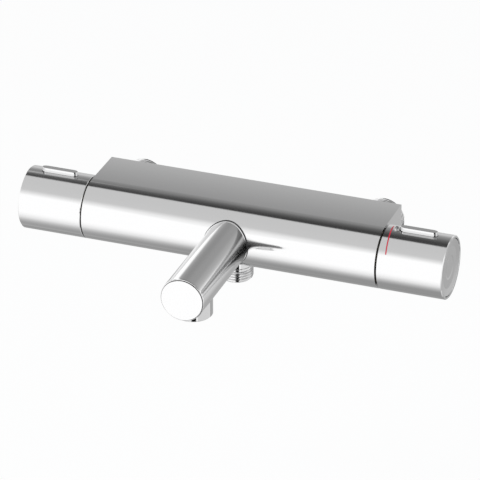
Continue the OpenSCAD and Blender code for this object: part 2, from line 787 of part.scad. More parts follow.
// Ring sector on the handle's face that carries the red scale line
module scale_band(gap) intersection() {
  tube(bar_r + gap, bar_r - scale_depth - gap, 0, push_mid);
  wedge(-scale_start, scale_angle - scale_start, bar_d, 0, handle_len);
  rotate([0, 0, scale_angle / 2 - scale_start]) translate([0, 0, scale_inset]) rotate([scale_slant, 0, 0])
    translate([0, 0, -scale_w / 2 - gap]) linear_extrude(scale_w + 2 * gap) square(2 * bar_d, center = true);
}

module temperature_knob() color([0.86, 0.87, 0.88]) right_end() from_handle() difference() {
  knob();
  scale_band(fit / 2);
}

module temperature_mark() color([0.85, 0.1, 0.12]) right_end() from_handle() scale_band(0);
module flow_knob() color([0.86, 0.87, 0.88]) left_end() from_handle() knob();

// Plastic insert in a handle: stop lug, splined hub, screw seat, and the push bar's pocket
module insert(lug) difference() {
  r = bar_r - handle_wall - fit;
  end = handle_len - cap_depth - flange_t - fit;
  pocket_len = push_len + foot_extra + 2 * pocket_gap;
  hub_end = spline_end + screw_floor;
  rod(r, insert_start, end);
  difference() {
    rod(stop_room_r, insert_start - over, stop_end);
    intersection() {
      tube(stop_room_r + over, stop_mid_r + stop_end_gap / 2, insert_start, stop_end + over);
      wedge(-lug / 2, lug / 2, bar_r, insert_start, stop_end + over);
    }
  }
  translate([0, 0, stop_end - over]) linear_extrude(spline_end - stop_end + over)
    polygon(spline_outline(spline_r + fit));
  rod(screw_r + fit, spline_end - over, hub_end + over);
  rod(screw_room_r, hub_end, end + over);
  translate([pocket_floor, -foot_w / 2 - pocket_gap, push_mid - pocket_len / 2])
    cube([bar_r, foot_w + 2 * pocket_gap, pocket_len]);
  for (s = [-1, 1]) translate([0, 0, push_mid + s * push_len / 2 * post_place_share])
    rod_x(post_r + run_fit, foot_top - foot_t - post_len - post_room, bar_r);
  translate([0, 0, push_mid]) rod_x(push_coil_r + 2 * push_wire_r, pocket_floor - spring_well, bar_r);
}

module temperature_insert() color([0.93, 0.93, 0.9]) right_end() from_handle() insert(temperature_lug);
module flow_insert() color([0.93, 0.93, 0.9]) left_end() from_handle() insert(flow_lug);

module handle_screw() difference() {
  head = spline_end + screw_floor;
  union() {
    rod(screw_r, screw_start, head + over);
    rod(screw_head_r, head, head + screw_head_t);
  }
  translate([0, 0, head + screw_head_t - screw_socket_depth])
    cylinder(h = handle_len, r = screw_socket_r, $fn = 6);
}

module temperature_screw() color([0.6, 0.6, 0.62]) right_end() from_handle() handle_screw();
module flow_screw() color([0.6, 0.6, 0.62]) left_end() from_handle() handle_screw();

// Cap that closes a handle: a disc with a shallow round dish, and a plug behind it
module knob_cap() {
  r = bar_r - cap_seat - cap_gap;
  back = handle_len - cap_depth;
  face = handle_len - cap_sink;
  rotate_extrude() polygon([
    [0, back], [r, back], [r, face - handle_chamfer_in], [r - handle_chamfer_in, face],
    [dish_r, face], [dish_r - dish_slope, face - dish_depth], [0, face - dish_depth]]);
  tube(flange_hole_r - fit, flange_hole_r - fit - cap_plug_w, back - cap_plug_len, back + fit);
}

module temperature_knob_cap() color([0.8, 0.81, 0.83]) right_end() from_handle() knob_cap();
module flow_knob_cap() color([0.8, 0.81, 0.83]) left_end() from_handle() knob_cap();

// Push bar: the raised bar, its wide foot under the shell, and two guide posts
module push_bar() {
  foot_len = push_len + foot_extra;
  translate([0, 0, push_mid]) {
    bar_shape(push_len, push_w, foot_top - foot_t, push_top);
    translate([foot_top - foot_t, -foot_w / 2, -foot_len / 2]) cube([foot_t, foot_w, foot_len]);
    for (s = [-1, 1]) translate([0, 0, s * push_len / 2 * post_place_share])
      rod_x(post_r, foot_top - foot_t - post_len, foot_top);
  }
}

module push_spring() translate([0, 0, push_mid]) rotate([0, 90, 0])
  coil(push_coil_r, push_wire_r, pocket_floor - spring_well + fit, foot_top - foot_t - fit, push_turns);

module safety_button() color([0.86, 0.87, 0.88]) right_end() from_handle() push_bar();
module safety_spring() color([0.7, 0.7, 0.72]) right_end() from_handle() push_spring();
module eco_button() color([0.86, 0.87, 0.88]) left_end() from_handle() push_bar();
module eco_spring() color([0.7, 0.7, 0.72]) left_end() from_handle() push_spring();

// Flow cartridge: housing, two ceramic discs and the spindle that turns one of them
flow_seal_places = [chamber_end + 2 * seal_groove_w, sleeve_end - seal_groove_w];

module flow_cartridge() color([0.93, 0.92, 0.88]) left_end() difference() {
  rod(sleeve_r, flow_start, sleeve_end);
  rod(chamber_r, flow_start - over, chamber_end);
  rod(shaft_r + run_fit, flow_start, sleeve_end + over);
  for (z = flow_seal_places) o_ring_groove(cartridge_r, z);
}

module flow_seals() color([0.1, 0.1, 0.1]) left_end() for (z = flow_seal_places) o_ring(cartridge_r, z);

module fixed_disc() color([0.96, 0.95, 0.92]) left_end() difference() {
  rod(chamber_r - fit, flow_start, flow_start + disc_t);
  for (y = [-side_way, 0, side_way]) translate([0, y, 0])
    rod(disc_hole_r, flow_start - over, flow_start + disc_t + over);
}

// The slot joins the middle hole to one side hole, and points up when closed
module moving_disc() color([0.96, 0.95, 0.92]) left_end() difference() {
  rod(chamber_r - 4 * fit, moving_start, moving_start + disc_t);
  for (x = [0, side_way]) translate([x, 0, 0]) rod(disc_hole_r, moving_start - over, moving_start + slot_depth);
  translate([0, -disc_hole_r, moving_start - over]) cube([side_way, 2 * disc_hole_r, slot_depth + over]);
  for (s = [-1, 1]) translate([0, s * drive_pin_place, 0])
    rod(drive_pin_r + fit, moving_start + disc_t - drive_pin_len - fit, moving_start + disc_t + over);
}

module flow_spindle() color([0.78, 0.66, 0.38]) left_end() {
  rod(chamber_r - 6 * fit, drive_start, drive_start + drive_t);
  for (s = [-1, 1]) translate([0, s * drive_pin_place, 0])
    rod(drive_pin_r, drive_start - drive_pin_len, drive_start + over);
  handle_shaft(drive_start + drive_t - over);
}

body_shell();
inlet_nipple_hot();
inlet_nipple_cold();
inlet_gaskets();
strainer_hot();
strainer_cold();
check_valve_hot();
check_valve_cold();
poppet_hot();
poppet_cold();
poppet_spring_hot();
poppet_spring_cold();
shower_nipple();
shower_gasket();
check_valve_shower();
poppet_shower();
poppet_spring_shower();
spout_gasket();
spout_base_ring();
spout_tube();
spout_end_cap();
spout_connector();
spout_seals();
spout_grub_screw();
outlet_housing();
aerator_insert();
aerator_seal();
thermostat_sleeve();
thermostat_seals();
thermostat_nut();
wax_element();
regulating_slide();
return_spring();
temperature_stop_ring();
temperature_spindle();
temperature_knob();
temperature_mark();
temperature_insert();
temperature_screw();
temperature_knob_cap();
safety_button();
safety_spring();
flow_cartridge();
flow_seals();
flow_nut();
fixed_disc();
moving_disc();
flow_stop_ring();
flow_spindle();
flow_knob();
flow_insert();
flow_screw();
flow_knob_cap();
eco_button();
eco_spring();
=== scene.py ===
import json
import math

import bmesh
import bpy
from mathutils import Matrix, Vector


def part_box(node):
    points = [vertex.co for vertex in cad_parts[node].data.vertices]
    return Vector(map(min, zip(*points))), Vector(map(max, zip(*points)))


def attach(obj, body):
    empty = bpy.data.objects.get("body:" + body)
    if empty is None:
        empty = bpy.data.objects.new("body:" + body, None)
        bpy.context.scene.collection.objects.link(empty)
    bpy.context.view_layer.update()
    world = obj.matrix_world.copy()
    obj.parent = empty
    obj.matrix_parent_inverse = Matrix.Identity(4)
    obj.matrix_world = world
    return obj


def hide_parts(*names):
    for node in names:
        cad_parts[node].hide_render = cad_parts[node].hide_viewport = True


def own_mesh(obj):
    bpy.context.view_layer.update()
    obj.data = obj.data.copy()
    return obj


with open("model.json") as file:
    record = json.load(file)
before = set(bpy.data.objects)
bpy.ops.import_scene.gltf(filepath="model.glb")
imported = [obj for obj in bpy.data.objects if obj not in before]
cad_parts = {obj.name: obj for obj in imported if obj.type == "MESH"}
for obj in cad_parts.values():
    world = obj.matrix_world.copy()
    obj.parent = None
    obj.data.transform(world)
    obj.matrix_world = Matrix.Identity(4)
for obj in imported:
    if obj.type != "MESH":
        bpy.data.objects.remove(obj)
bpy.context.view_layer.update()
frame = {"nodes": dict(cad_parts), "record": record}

nodes = frame["nodes"]
slot_of = {part["node"]: part["material_slot"] for part in frame["record"]["subparts"]}
scene = bpy.context.scene
MM = 0.001

# The bar's axis and radius, as in the CAD
BAR_AXIS_Y = -0.051
BAR_R = 0.02

# Share of light that the polished plating reflects
CHROME = 0.75

# Node helpers

# Places of a Mix node's colour sockets, among those that it has for other kinds of data
MIX_FACTOR, MIX_A, MIX_B, MIX_RESULT = 0, 6, 7, 2


class Output:
    """What a node gives out, so that sums can be written with it."""

    def __init__(self, socket):
        self.socket = socket

    def calc(self, operation, *values):
        node = new_node(self, "ShaderNodeMath")
        node.operation = operation
        for socket, value in zip(node.inputs, (self, *values)):
            feed(socket, value)
        return Output(node.outputs[0])

    def __add__(self, value):
        return self.calc("ADD", value)

    def __sub__(self, value):
        return self.calc("SUBTRACT", value)

    def __mul__(self, value):
        return self.calc("MULTIPLY", value)

    def __truediv__(self, value):
        return self.calc("DIVIDE", value)


def new_node(beside, kind):
    """A new node in a tree, or in the tree of an output."""
    tree = beside.socket.id_data if isinstance(beside, Output) else beside
    return tree.nodes.new(kind)


def feed(socket, value):
    """Sets a socket to a number or a colour, or links what another node gives out to it."""
    if isinstance(value, Output):
        socket.id_data.links.new(value.socket, socket)
    elif isinstance(value, tuple):
        socket.default_value = (*value, 1)
    else:
        socket.default_value = value


def most(first, *others):
    """The largest of several values."""
    for other in others:
        first = first.calc("MAXIMUM", other)
    return first


def least(first, *others):
    """The smallest of several values."""
    for other in others:
        first = first.calc("MINIMUM", other)
    return first


def smooth(value, low, high):
    """0 below low and 1 above high, with a soft step between them."""
    node = new_node(value, "ShaderNodeMapRange")
    node.interpolation_type = "SMOOTHSTEP"
    feed(node.inputs["Value"], value)
    feed(node.inputs["From Min"], low)
    feed(node.inputs["From Max"], high)
    return Output(node.outputs[0])


def mix(factor, a, b):
    """Colour a where the factor is 0, colour b where it is 1."""
    node = new_node(factor, "ShaderNodeMix")
    node.data_type = "RGBA"
    feed(node.inputs[MIX_FACTOR], factor)
    feed(node.inputs[MIX_A], a)
    feed(node.inputs[MIX_B], b)
    return Output(node.outputs[MIX_RESULT])


def mix_shaders(factor, a, b):
    """Shader a where the factor is 0, shader b where it is 1."""
    node = new_node(a, "ShaderNodeMixShader")
    for socket, value in zip(node.inputs, (factor, a, b)):
        feed(socket, value)
    return Output(node.outputs[0])


def linear(grey):
    """Linear value of a screen grey from 0 to 255."""
    share = grey / 255
    return share / 12.92 if share <= 0.04045 else ((share + 0.055) / 1.055) ** 2.4


def by_height(z, levels):
    """Grey at a height z from -1 to 1, out of a table of (height, screen grey)."""
    node = new_node(z, "ShaderNodeValToRGB")
    stops = node.color_ramp.elements
    while len(stops) < len(levels):
        stops.new(0.5)
    for stop, (height, grey) in zip(stops, levels):
        stop.position = (height + 1) / 2
        stop.color = (linear(grey), linear(grey), linear(grey), 1)
    feed(node.inputs[0], z * 0.5 + 0.5)
    return Output(node.outputs[0])


# Camera

AZIMUTH = math.radians(20.14)
ELEVATION = math.radians(27.67)
CAMERA_DISTANCE = 2.3769
LENS = 287.46
SENSOR = 36
CLIP_START, CLIP_END = 0.1, 50
AIM_RIGHT = 1.933 * MM
AIM_UP = -5.44 * MM


def add_camera():
    """Camera that looks at a point beside the bar's axis."""
    right = Vector((math.cos(AZIMUTH), math.sin(AZIMUTH), 0))
    back = Vector((math.sin(AZIMUTH) * math.cos(ELEVATION), -math.cos(AZIMUTH) * math.cos(ELEVATION),
                   math.sin(ELEVATION)))
    up = back.cross(right)
    target = Vector((0, BAR_AXIS_Y, 0)) + right * AIM_RIGHT + up * AIM_UP
    data = bpy.data.cameras.new("camera")
    data.sensor_width = SENSOR
    data.lens = LENS
    data.clip_start = CLIP_START
    data.clip_end = CLIP_END
    camera = bpy.data.objects.new("camera", data)
    scene.collection.objects.link(camera)
    turn = Matrix((right, up, back)).transposed().to_4x4()
    camera.matrix_world = Matrix.Translation(target + back * CAMERA_DISTANCE) @ turn
    scene.camera = camera


# Studio

# Places in the studio are on a ball of radius 1 round the mixer, with x to the right, y back and z up. These
# are screen greys by height: of the softboxes and the pale floor under them, of the walls seen in the gap
# between them, of the black strip in front, and of the side walls beyond them.
BOXES = ((-1.0, 138), (-0.95, 146), (-0.87, 185), (-0.76, 228), (-0.62, 248), (-0.5, 255), (0.47, 255),
         (0.6, 228), (0.73, 198), (1.0, 194))
LEFT_WALL = ((-1.0, 138), (-0.78, 148), (-0.6, 156), (-0.48, 162), (-0.3, 178), (0.0, 188), (0.16, 194),
             (0.27, 182), (0.36, 164), (0.46, 144), (0.55, 134), (0.63, 124), (0.76, 95), (0.9, 58))
RIGHT_WALL = ((-1.0, 138), (-0.6, 158), (-0.47, 168), (-0.39, 190), (-0.25, 202), (0.0, 214), (0.14, 228),
              (0.25, 182), (0.35, 167), (0.43, 160), (0.5, 149), (0.6, 146), (0.9, 118))
STRIP = ((-1.0, 120), (-0.85, 80), (-0.74, 45), (-0.5, 24), (0.2, 24), (0.34, 110), (0.5, 150), (0.85, 150))
SIDE_WALL = ((-1.0, 138), (-0.6, 190), (-0.3, 246), (0.35, 246), (0.45, 196), (0.6, 150), (0.68, 95),
             (0.76, 60), (1.0, 60))

# Where one part of the studio passes into the next, along x, y, z or across the gap's edge
WALLS_MEET_X = (-0.3, 0.1)
STRIP_ENDS_Y = (-0.12, 0.12)
STRIP_DARKENS_X = (0.38, 0.46)
GAP_EDGE = (-0.045, 0.045)
BOXES_END_X = (0.59, 0.67)
GLOW_X, GLOW_Y, GLOW_Z = (0.5, 0.58), (-0.65, -0.45), (0.3, 0.6)

STRIP_LOSS = 0.55
GLOW_GAIN = 0.6
WHITE = (1, 1, 1)
BLACK = (0, 0, 0)
DAYLIGHT = (0.86, 0.87, 0.88)
DAYLIGHT_LEVEL = 0.8


def inside_gap(x, y, z):
    """Above zero inside the gap between the softboxes, below zero outside it. Each edge is made of planes
    through the middle of the studio, given by their slopes. Some planes lean out with height or depth."""
    floor_edge, floor_lean, front_floor_lean = 0.4, 0.6, 0.5
    right_lean, front_lean, front_lean_end = 0.29, 0.45, 0.35
    softening, soft_lean, soft_shift = 0.6, 0.08, -0.016
    soft_x = (0, 0.2)
    axes = {"x": x, "y": y, "z": z}

    def plane(**slopes):
        terms = [axes[axis] * slope for axis, slope in slopes.items()]
        total = terms[0]
        for term in terms[1:]:
            total = total + term
        return total

    height = most(z, 0)
    depth = most(z * -1, 0)
    near_floor = most(depth - floor_edge, 0) * floor_lean
    low_left = least(plane(z=-4), plane(y=1.5))

    right_edge = most(plane(z=0.66), y, plane(y=-0.66) + height * right_lean, plane(y=-0.69) + near_floor)
    left_edge = most(plane(z=0.5), plane(y=0.575), plane(y=-2), low_left)
    front = plane(x=1, y=0.23)
    front_edge = most(plane(x=1.14, y=1, z=0.15), front + near_floor * front_floor_lean,
                      front + least(height, front_lean_end) * front_lean, low_left)

    # on the right, the front edge is softer and leans out a little with depth
    on_right = smooth(x, *soft_x)
    front_edge = front_edge * (on_right * -softening + 1) + on_right * (depth * soft_lean + soft_shift)
    return least(right_edge - x, left_edge + x, front_edge)


def studio_light(x, y, z):
    """Colour and strength of what the plating reflects: two big white softboxes, left and right, with a
    darker gap between them that runs from the rear wall, over the mixer, to a black strip in front."""
    walls = mix(smooth(x, *WALLS_MEET_X), by_height(z, LEFT_WALL), by_height(z, RIGHT_WALL))
    strip_level = smooth(x, *STRIP_DARKENS_X) * -STRIP_LOSS + 1
    strip = mix(strip_level, BLACK, by_height(z, STRIP))
    gap = mix(smooth(y, *STRIP_ENDS_Y), strip, walls)
    colour = mix(smooth(inside_gap(x, y, z), *GAP_EDGE), by_height(z, BOXES), gap)
    beyond_boxes = smooth(x.calc("ABSOLUTE"), *BOXES_END_X)
    colour = mix(beyond_boxes, colour, by_height(z, SIDE_WALL))

    # the left softbox is brighter high up
    glow = smooth(x * -1, *GLOW_X) * smooth(y, *GLOW_Y) * smooth(z, *GLOW_Z) * (beyond_boxes * -1 + 1)
    return colour, (glow * GLOW_GAIN + 1) / CHROME


def background(tree, colour, strength=1.0):
    node = new_node(tree, "ShaderNodeBackground")
    feed(node.inputs["Color"], colour)
    feed(node.inputs["Strength"], strength)
    return Output(node.outputs[0])


def studio_world():
    """The studio is seen in sharp reflections only. Dull surfaces get even daylight, and what the camera
    sees behind the mixer is white."""
    world = bpy.data.worlds.new("studio")
    scene.world = world
    world.use_nodes = True
    tree = world.node_tree
    tree.nodes.clear()
    split = new_node(tree, "ShaderNodeSeparateXYZ")
    feed(split.inputs[0], Output(new_node(tree, "ShaderNodeTexCoord").outputs["Generated"]))
    x, y, z = (Output(socket) for socket in split.outputs)
    ray = {socket.name: Output(socket) for socket in new_node(tree, "ShaderNodeLightPath").outputs}
    lit = mix_shaders(ray["Is Glossy Ray"], background(tree, DAYLIGHT, DAYLIGHT_LEVEL),
                      background(tree, *studio_light(x, y, z)))
    straight = most(ray["Is Camera Ray"], ray["Is Transmission Ray"])
    surface = mix_shaders(straight, lit, background(tree, WHITE))
    feed(new_node(tree, "ShaderNodeOutputWorld").inputs["Surface"], surface)


FLOOR_SIZE = 6.0
FLOOR_Z = -0.30
FLOOR_GREY = (0.86, 0.86, 0.86)
FLOOR_GLOW = 1.08
FLOOR_GLOW_SHARE = 0.75


def floor():
    """Pale floor far below the mixer. The camera sees it nearly white."""
    mesh = bpy.data.meshes.new("floor")
    corners = [(x * FLOOR_SIZE, y * FLOOR_SIZE, FLOOR_Z) for x, y in ((-1, -1), (1, -1), (1, 1), (-1, 1))]
    mesh.from_pydata(corners, [], [(0, 1, 2, 3)])
    ob = bpy.data.objects.new("floor", mesh)
    scene.collection.objects.link(ob)
    look = bpy.data.materials.new("pale_floor")
    look.use_nodes = True
    tree = look.node_tree
    tree.nodes.clear()
    plain = new_node(tree, "ShaderNodeBsdfDiffuse")
    feed(plain.inputs["Color"], FLOOR_GREY)
    glow = new_node(tree, "ShaderNodeEmission")
    feed(glow.inputs["Color"], WHITE)
    feed(glow.inputs["Strength"], FLOOR_GLOW)
    plain, glow = Output(plain.outputs[0]), Output(glow.outputs[0])
    seen = Output(new_node(tree, "ShaderNodeLightPath").outputs["Is Camera Ray"])
    surface = mix_shaders(seen, plain, mix_shaders(FLOOR_GLOW_SHARE, plain, glow))
    feed(new_node(tree, "ShaderNodeOutputMaterial").inputs["Surface"], surface)
    mesh.materials.append(look)
    ob.visible_glossy = False


LIGHT_AIM = (0, -0.05, 0)


def area_light(name, place, side, power):
    """Square light that faces the bar. It isn't seen in reflections."""
    data = bpy.data.lights.new(name, "AREA")
    data.shape = "SQUARE"
    data.size = side
    data.energy = power
    ob = bpy.data.objects.new(name, data)
    scene.collection.objects.link(ob)
    aim = Vector(LIGHT_AIM) - Vector(place)
    ob.matrix_world = Matrix.Translation(Vector(place)) @ aim.to_track_quat("-Z", "Y").to_matrix().to_4x4()
    ob.visible_glossy = False
    ob.visible_camera = False


add_camera()
studio_world()
floor()
area_light("key", place=(-0.9, -1.3, 1.6), side=1.0, power=9)
area_light("fill", place=(1.4, -0.9, 0.9), side=1.2, power=4)

scene.view_settings.view_transform = "Standard"

# Materials

# Slope that the crowned top of the body gains, in a metre towards its rear edge
CROWN = 2.2

# The plating is a touch bluer than grey
BLUE_SHARE = 1.003


def material(name):
    """A new material, its node tree and the inputs of its surface shader."""
    look = bpy.data.materials.new(name)
    look.use_nodes = True
    return look, look.node_tree, look.node_tree.nodes["Principled BSDF"].inputs


def object_coords(tree, scale=(1, 1, 1)):
    """Places on the object, stretched by a scale, so that patterns stay with it."""
    node = new_node(tree, "ShaderNodeMapping")
    feed(node.inputs["Vector"], Output(new_node(tree, "ShaderNodeTexCoord").outputs["Object"]))
    node.inputs["Scale"].default_value = scale
    return Output(node.outputs[0])


def noise(coords, scale, detail=4, rough=0.5):
    node = new_node(coords, "ShaderNodeTexNoise")
    feed(node.inputs["Vector"], coords)
    feed(node.inputs["Scale"], scale)
    feed(node.inputs["Detail"], detail)
    feed(node.inputs["Roughness"], rough)
    return Output(node.outputs[0])


def bump(height, strength, distance):
    """Normals of a surface that a pattern roughens."""
    node = new_node(height, "ShaderNodeBump")
    feed(node.inputs["Strength"], strength)
    feed(node.inputs["Distance"], distance)
    feed(node.inputs["Height"], height)
    return Output(node.outputs[0])


def spread_over(pattern, low, high):
    """Takes the middle part of a noise pattern to the range from low to high."""
    node = new_node(pattern, "ShaderNodeMapRange")
    feed(node.inputs["Value"], pattern)
    for name, value in (("From Min", 0.3), ("From Max", 0.7), ("To Min", low), ("To Max", high)):
        feed(node.inputs[name], value)
    return Output(node.outputs[0])


def darker(colour, share):
    return tuple(part * share for part in colour)


def crowned(coords, normal):
    """Lets a flat top fall away a little towards its rear edge, as a polished face does."""
    split = new_node(coords, "ShaderNodeSeparateXYZ")
    feed(split.inputs[0], coords)
    behind = most(Output(split.outputs["Y"]) - BAR_AXIS_Y, 0)
    node = new_node(coords, "ShaderNodeBump")
    feed(node.inputs["Distance"], 1.0)
    feed(node.inputs["Height"], behind * behind * (-CROWN / 2))
    feed(node.inputs["Normal"], normal)
    return Output(node.outputs[0])


def chrome(name, level=CHROME, rough=0.07, spread=0.03, crown=False):
    """Polished plating: faint smears in the gloss and a very slight ripple."""
    look, tree, surface = material(name)
    coords = object_coords(tree)
    smears = noise(coords, scale=60, detail=5, rough=0.6)
    ripple = bump(noise(coords, scale=900, detail=2, rough=0.4), strength=0.02, distance=0.0002)
    feed(surface["Base Color"], (level, level, level * BLUE_SHARE))
    feed(surface["Metallic"], 1.0)
    feed(surface["Roughness"], spread_over(smears, rough, rough + spread))
    feed(surface["Normal"], crowned(coords, ripple) if crown else ripple)
    return look


def plastic(name, colour, rough=0.42, spread=0.1):
    """Moulded plastic with a fine grain."""
    look, tree, surface = material(name)
    coords = object_coords(tree)
    clouds = noise(coords, scale=350, rough=0.55)
    feed(surface["Base Color"], mix(clouds, darker(colour, share=0.93), colour))
    feed(surface["Roughness"], spread_over(clouds, rough, rough + spread))
    feed(surface["Normal"], bump(noise(coords, scale=4000, detail=2), strength=0.08, distance=0.00005))
    return look


def rubber(name, colour, rough=0.65):
    """Dull rubber or fibre, a little uneven."""
    look, tree, surface = material(name)
    grain = noise(object_coords(tree), scale=900, detail=5, rough=0.6)
    feed(surface["Base Color"], mix(grain, darker(colour, share=0.7), colour))
    feed(surface["Roughness"], rough)
    feed(surface["Normal"], bump(grain, strength=0.15, distance=0.0001))
    return look


def turned_metal(name, colour, rough=0.24, spread=0.14):
    """Machined metal: fine rings left by the cutting tool."""
    look, tree, surface = material(name)
    rings = noise(object_coords(tree, scale=(2500, 60, 60)), scale=1, detail=3, rough=0.6)
    feed(surface["Metallic"], 1.0)
    feed(surface["Base Color"], mix(rings, darker(colour, share=0.85), colour))
    feed(surface["Roughness"], spread_over(rings, rough, rough + spread))
    feed(surface["Normal"], bump(rings, strength=0.05, distance=0.0001))
    return look


def ceramic(name, dark=(0.86, 0.85, 0.82), light=(0.93, 0.92, 0.89), rough=0.12, coat=0.4):
    """Lapped ceramic of the valve discs."""
    look, tree, surface = material(name)
    feed(surface["Base Color"], mix(noise(object_coords(tree), scale=1500), dark, light))
    feed(surface["Roughness"], rough)
    feed(surface["Coat Weight"], coat)
    return look


def enamel(name, colour, rough=0.3):
    """Paint in the temperature mark."""
    look, tree, surface = material(name)
    grain = noise(object_coords(tree), scale=700, detail=3)
    feed(surface["Base Color"], mix(grain, darker(colour, share=0.85), colour))
    feed(surface["Roughness"], rough)
    return look


looks = {
    "chrome": chrome("chrome"),
    "chrome_satin": chrome("chrome_cap", CHROME * 0.9, rough=0.09),
    "brass": turned_metal("brass", (0.72, 0.55, 0.26)),
    "steel": turned_metal("steel", (0.62, 0.62, 0.64), rough=0.2),
    "rubber": rubber("rubber", (0.03, 0.03, 0.032)),
    "fibre": rubber("fibre", (0.32, 0.07, 0.05)),
    "cream_plastic": plastic("cream_plastic", (0.82, 0.80, 0.72)),
    "dark_plastic": plastic("dark_plastic", (0.05, 0.05, 0.055)),
    "blue_plastic": plastic("blue_plastic", (0.05, 0.13, 0.40)),
    "red_enamel": enamel("red_enamel", (0.72, 0.02, 0.06)),
    "copper": turned_metal("copper", (0.80, 0.42, 0.26)),
    "ceramic": ceramic("ceramic"),
}
look_of_node = {
    "body_shell": chrome("chrome_body", crown=True),
    "outlet_housing": chrome("chrome_outlet", CHROME * 0.92),
}
outlet_pipe_look = chrome("chrome_outlet_pipe", rough=0.14, spread=0.04)
stud_look = chrome("chrome_stud", CHROME * 0.62, rough=0.2, spread=0.05)
push_bar_look = chrome("chrome_push_bar", rough=0.02, spread=0.01)

for name, ob in nodes.items():
    ob.data.materials.clear()
    ob.data.materials.append(look_of_node.get(name, looks[slot_of[name]]))
    for poly in ob.data.polygons:
        poly.material_index = 0

# Pieces made here

# Bends above this many degrees are drawn as edges, and the rest is smoothed
CREASE = 32
FINE_CREASE = 4.5
BEVEL_CREASE = 15
TUBE_CREASE = 60


def add_piece(name, bm, place, look, body, node=None, crease=CREASE):
    """Makes an object of a mesh drawn in its local frame, in metres, that rides on a body. Where node is
    given, the piece is shown in its place."""
    bmesh.ops.recalc_face_normals(bm, faces=bm.faces)
    mesh = bpy.data.meshes.new(name)
    bm.to_mesh(mesh)
    bm.free()
    mesh.transform(place)
    for poly in mesh.polygons:
        poly.use_smooth = True
    mesh.set_sharp_from_angle(angle=math.radians(crease))
    ob = bpy.data.objects.new(name, mesh)
    scene.collection.objects.link(ob)
    mesh.materials.append(look)
    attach(ob, body)
    if node:
        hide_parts(node)
    return ob


def circle(count):
    """Angles of count points, evenly round a circle."""
    return [2 * math.pi * i / count for i in range(count)]


def around(radius, angle, z):
    """Point at a radius and a height, in millimetres, turned about local Z."""
    return Vector((radius * math.cos(angle), radius * math.sin(angle), z)) * MM


def skin(bm, low, high):
    """Faces between two closed rings of as many points."""
    for i in range(len(low)):
        n = (i + 1) % len(low)
        bm.faces.new((low[i], low[n], high[n], high[i]))


def turned_to(axis, degrees, centre):
    """Place of a piece drawn along local Z, turned about an axis and then moved to its centre."""
    return Matrix.Translation(centre) @ Matrix.Rotation(math.radians(degrees), 4, axis)


def revolved(profile, steps=96):
    """Mesh of a closed outline of (radius, height), in millimetres, turned about local Z. A point on the
    axis is one point, not a ring."""
    bm = bmesh.new()
    rings = [[bm.verts.new(around(r, a, z)) for a in circle(steps if r > 0 else 1)] for r, z in profile]
    for low, high in zip(rings, rings[1:] + rings[:1]):
        for i in range(steps):
            n = i + 1
            corners = [low[i % len(low)], low[n % len(low)], high[n % len(high)], high[i % len(high)]]
            corners = list(dict.fromkeys(corners))
            if len(corners) > 2:
                bm.faces.new(corners)
    return bm


# Rows of points in one turn of a thread
THREAD_PHASES = 10

# Middle and half height of a thread's wave, as shares of its depth. Where the wave passes the crest or the
# root it is cut off, which leaves both flat.
WAVE_MIDDLE, WAVE_HEIGHT = 0.5, 0.72

# Points closer than this are one, and an edge shorter than this is none
SAME_POINT, NO_LENGTH = 1e-6, 1e-7


def thread_rows(major, root, start, end, pitch, lead_in, steps):
    """Points of a V thread on a nipple: one row of points per phase of the thread, wound along local Z,
    with a turn to spare at each end. Rows that would pass an end are drawn back to it, which leaves it flat.
    The thread starts at a slope of lead_in and runs out at 45 degrees."""
    first = -THREAD_PHASES - 1
    last = math.ceil((end - start) / pitch * THREAD_PHASES) + THREAD_PHASES + 2

    def radius(z, turns):
        wave = WAVE_MIDDLE + WAVE_HEIGHT * math.cos(2 * math.pi * turns)
        height = (major - root) * min(1, max(0, wave))
        return root + min(height, (z - start) * lead_in, end - z)

    rows = []
    for j in range(first, last):
        turns = j / THREAD_PHASES
        heights = [min(max(start + (turns + i / steps) * pitch, start), end) for i in range(steps)]
        rows.append([(radius(z, turns), z) for z in heights])
    return rows


def threaded_nipple(name, node, place, look, outer, bore, thread, steps=96):
    """A bored nipple with a real helical thread, in place of a node. outer runs from the root's inner edge
    to the thread's start, and bore from the mouth's edge back. Both are lists of (radius, height), in
    millimetres."""
    bm = bmesh.new()

    def ring(points):
        return [bm.verts.new(around(r, a, z)) for (r, z), a in zip(points, circle(steps))]

    outside = [ring([point] * steps) for point in outer]
    grid = [ring(row) for row in thread_rows(steps=steps, **thread)]
    inside = [ring([point] * steps) for point in bore]
    for low, high in zip(outside, outside[1:]):
        skin(bm, low, high)
    skin(bm, outside[-1], grid[0])
    for j in range(len(grid) - THREAD_PHASES - 1):
        for i in range(steps - 1):
            bm.faces.new((grid[j][i], grid[j][i + 1], grid[j + 1][i + 1], grid[j + 1][i]))
        wound = j + THREAD_PHASES
        bm.faces.new((grid[j][-1], grid[wound][0], grid[wound + 1][0], grid[j + 1][-1]))
    skin(bm, grid[-1], inside[0])
    for low, high in zip(inside, inside[1:]):
        skin(bm, low, high)
    skin(bm, inside[-1], outside[0])
    bmesh.ops.remove_doubles(bm, verts=bm.verts, dist=SAME_POINT)
    bmesh.ops.dissolve_degenerate(bm, edges=bm.edges, dist=NO_LENGTH)
    add_piece(name, bm, place, look, "mixer", node)


# Pitch and depth of a pipe thread: both sizes have 14 turns to the inch
PIPE_PITCH = 1.814
PIPE_DEPTH = 1.16


